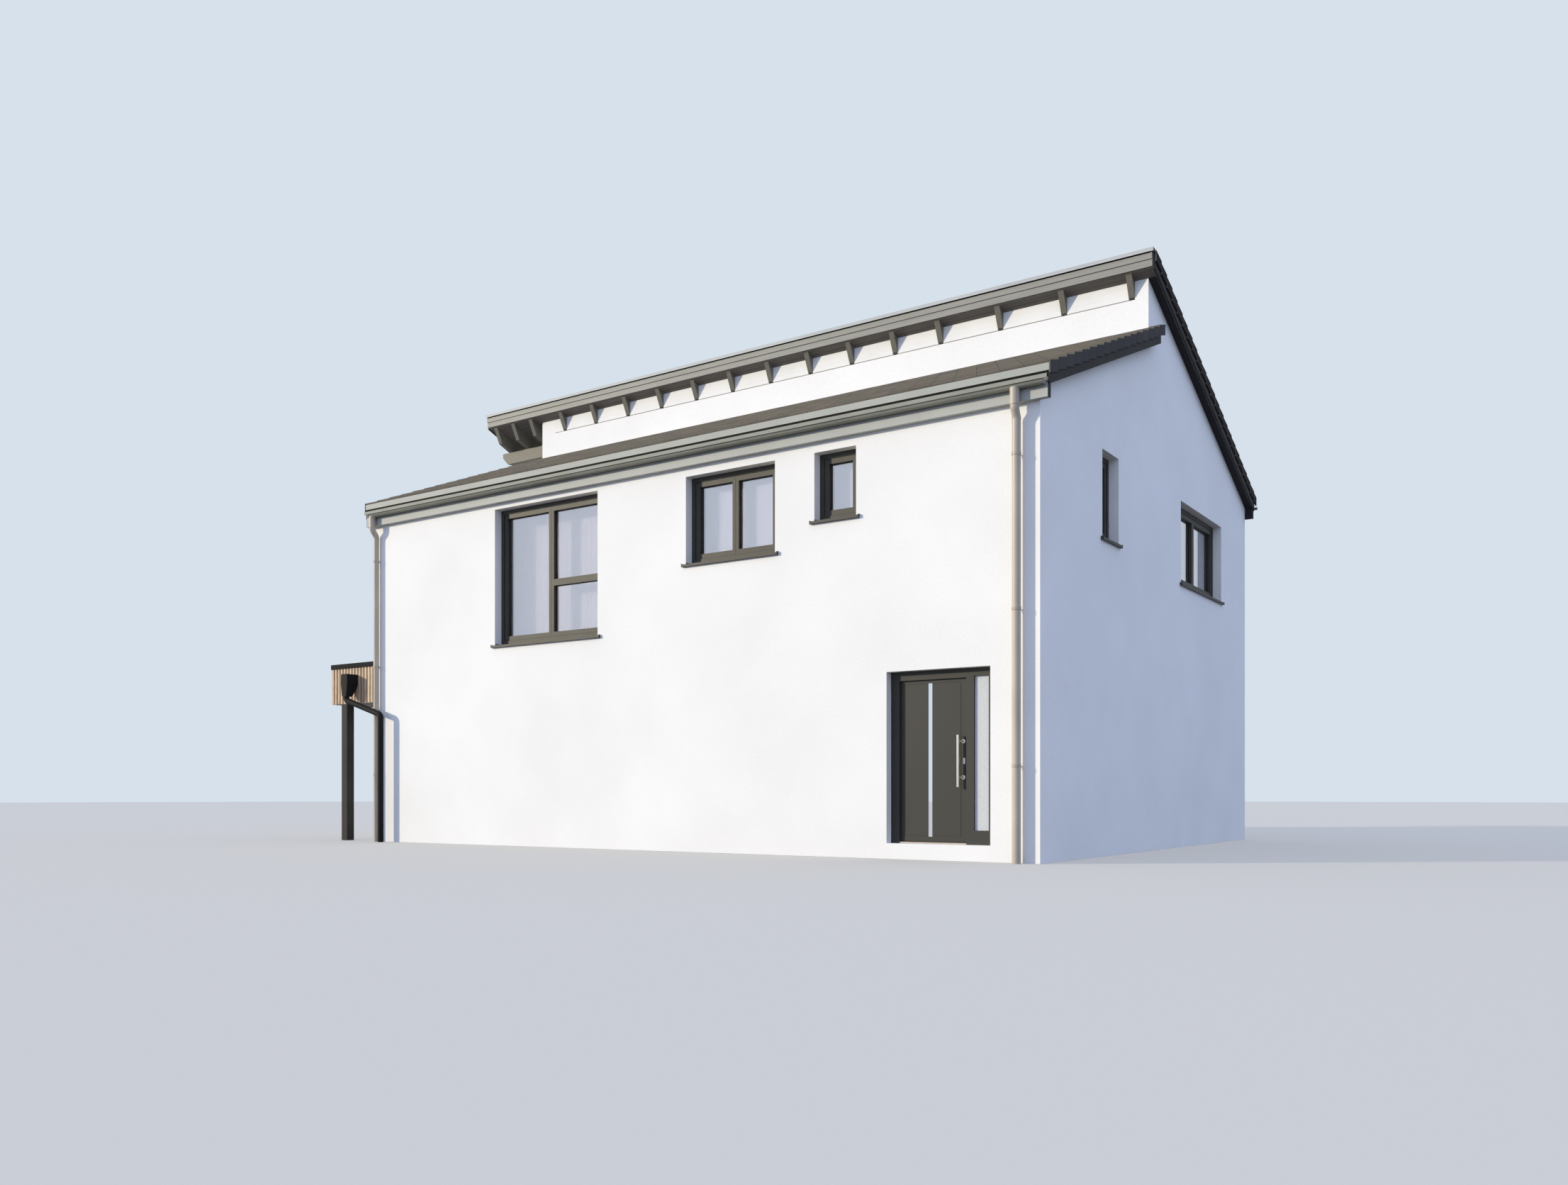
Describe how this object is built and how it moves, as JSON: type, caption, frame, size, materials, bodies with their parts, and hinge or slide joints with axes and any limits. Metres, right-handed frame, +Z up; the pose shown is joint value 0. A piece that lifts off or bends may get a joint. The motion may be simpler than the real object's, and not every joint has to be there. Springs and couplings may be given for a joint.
{
  "type": "detached house",
  "caption": "Two-storey detached house with offset mono-pitch tiled roofs, visible rafters, a hinged front door and a slatted side canopy.",
  "frame": {"origin": "on the ground under the middle of the wall plan, on the flat face the house rests on", "axes": "+X along the front to the right seen from outside, which is the longest extent, the front faces -Y, +Z up"},
  "size_m": [14.01, 10.0249, 8.74],
  "materials": {
    "wall_render": "fine mineral render, painted white",
    "concrete": "smooth concrete",
    "roof_tile": "matt charcoal concrete tile",
    "roof_boarding": "stained boards",
    "painted_timber": "taupe paint",
    "verge_board": "charcoal paint",
    "eave_metal": "folded sheet, light grey",
    "gutter_metal": "coated steel",
    "pipe_beige": "coated steel",
    "clip_steel": "galvanised",
    "window_frame": "charcoal foil",
    "sill_metal": "charcoal powder coat",
    "clear_glass": "insulating glass",
    "frosted_glass": "frosted glass",
    "door_paint": "olive grey powder coat",
    "handle_steel": "brushed",
    "slat_wood": "oiled larch",
    "canopy_timber": "brown stain",
    "canopy_sheet": "charcoal folded sheet",
    "post_paint": "dark powder coat",
    "black_metal": "black coated sheet"
  },
  "bodies": {
    "house": {"ground_slab": "concrete", "upper_floor": "concrete", "doorway_base": "wall_render", "front_wall_left": "wall_render", "front_wall_right": "wall_render", "front_wall_over_door": "wall_render", "rear_wall": "wall_render", "right_gable_wall": "wall_render", "left_gable_wall": "wall_render", "high_wall": "wall_render", "rafter_infill": "wall_render", "rafters": "painted_timber", "purlins": "painted_timber", "front_roof_deck": "roof_boarding", "front_roof_tiles": "roof_tile", "rear_roof_deck": "roof_boarding", "rear_roof_tiles": "roof_tile", "verge_flaps": "roof_tile", "verge_boards": "verge_board", "ridge_fascia": "painted_timber", "ridge_flashing": "eave_metal", "eave_boxes": "eave_metal", "eave_trims": "eave_metal", "gutters": "gutter_metal", "downpipes": "pipe_beige", "downpipe_clips": "clip_steel", "window_frames": "window_frame", "window_sashes": "window_frame", "window_glass": "clear_glass", "window_sills": "sill_metal", "door_jambs": "door_paint", "door_rails": "door_paint", "door_threshold": "clip_steel", "side_light_glass": "frosted_glass", "door_hinge_pins": "handle_steel", "canopy_frame": "canopy_timber", "canopy_roof": "canopy_sheet", "canopy_soffit": "canopy_timber", "canopy_slats": "slat_wood", "canopy_posts": "post_paint", "canopy_rainwater_head": "black_metal", "canopy_pipe": "black_metal"},
    "door": {"door_leaf": "door_paint", "door_glass_strip": "clear_glass", "door_pull_handle": "handle_steel", "door_lock_plate": "handle_steel", "door_hinge_knuckles": "handle_steel"}
  },
  "joints": [
    {"name": "front_door_hinge", "type": "hinge", "parent": "house", "child": "door", "pos_m": [4.215, -4.552, 0.2], "axis": [0, 0, 1], "range_deg": [0, 95]}
  ]
}
